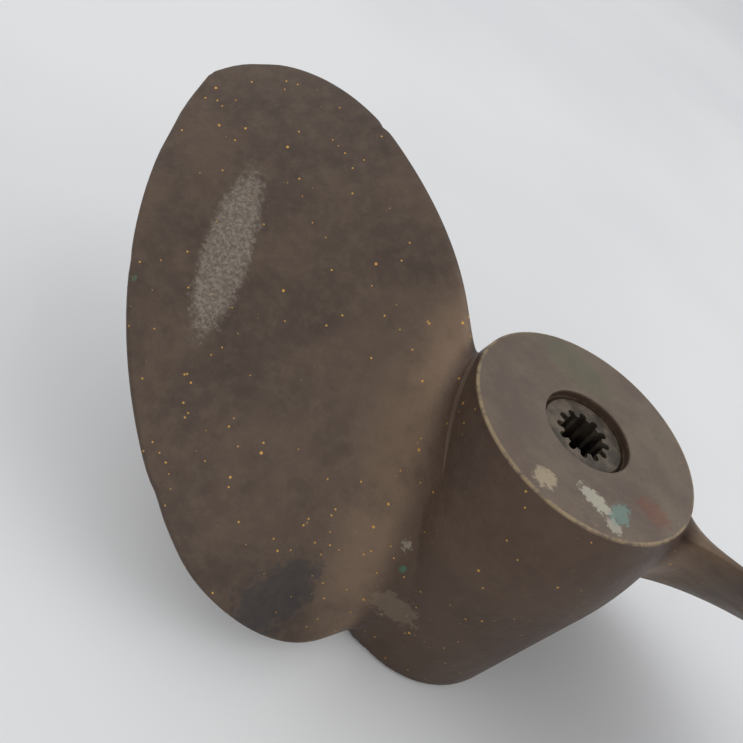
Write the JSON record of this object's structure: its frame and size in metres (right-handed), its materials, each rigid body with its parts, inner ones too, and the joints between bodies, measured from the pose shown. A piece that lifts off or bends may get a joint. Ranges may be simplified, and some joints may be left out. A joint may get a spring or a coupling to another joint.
{
  "type": "two-blade boat propeller",
  "caption": "Bronze marine propeller with a barrel hub, broad left-handed blades and a rubber-cushioned splined sleeve for the drive shaft.",
  "frame": {"origin": "centre of the hub's lower end face, on which the propeller stands", "axes": "+Z along the shaft axis towards the end face with the round recess; the blades reach mostly along -X and +X"},
  "size_m": [0.3196, 0.1678, 0.1148],
  "materials": {
    "bronze": "dark brown patina on cast bronze, lighter on the turned end face",
    "cushion_rubber": "matt black moulded rubber",
    "sleeve_steel": "dull grey, worn"
  },
  "bodies": {
    "propeller": {"propeller_casting": "bronze", "rubber_cushion": "cushion_rubber"},
    "sleeve": {"splined_sleeve": "sleeve_steel"}
  },
  "joints": [
    {"name": "cushion_twist", "type": "hinge", "parent": "propeller", "child": "sleeve", "pos_m": [0, 0, 0.05], "axis": [0, 0, 1], "range_deg": [-10, 10], "stiffness_Nm_per_rad": 60}
  ]
}
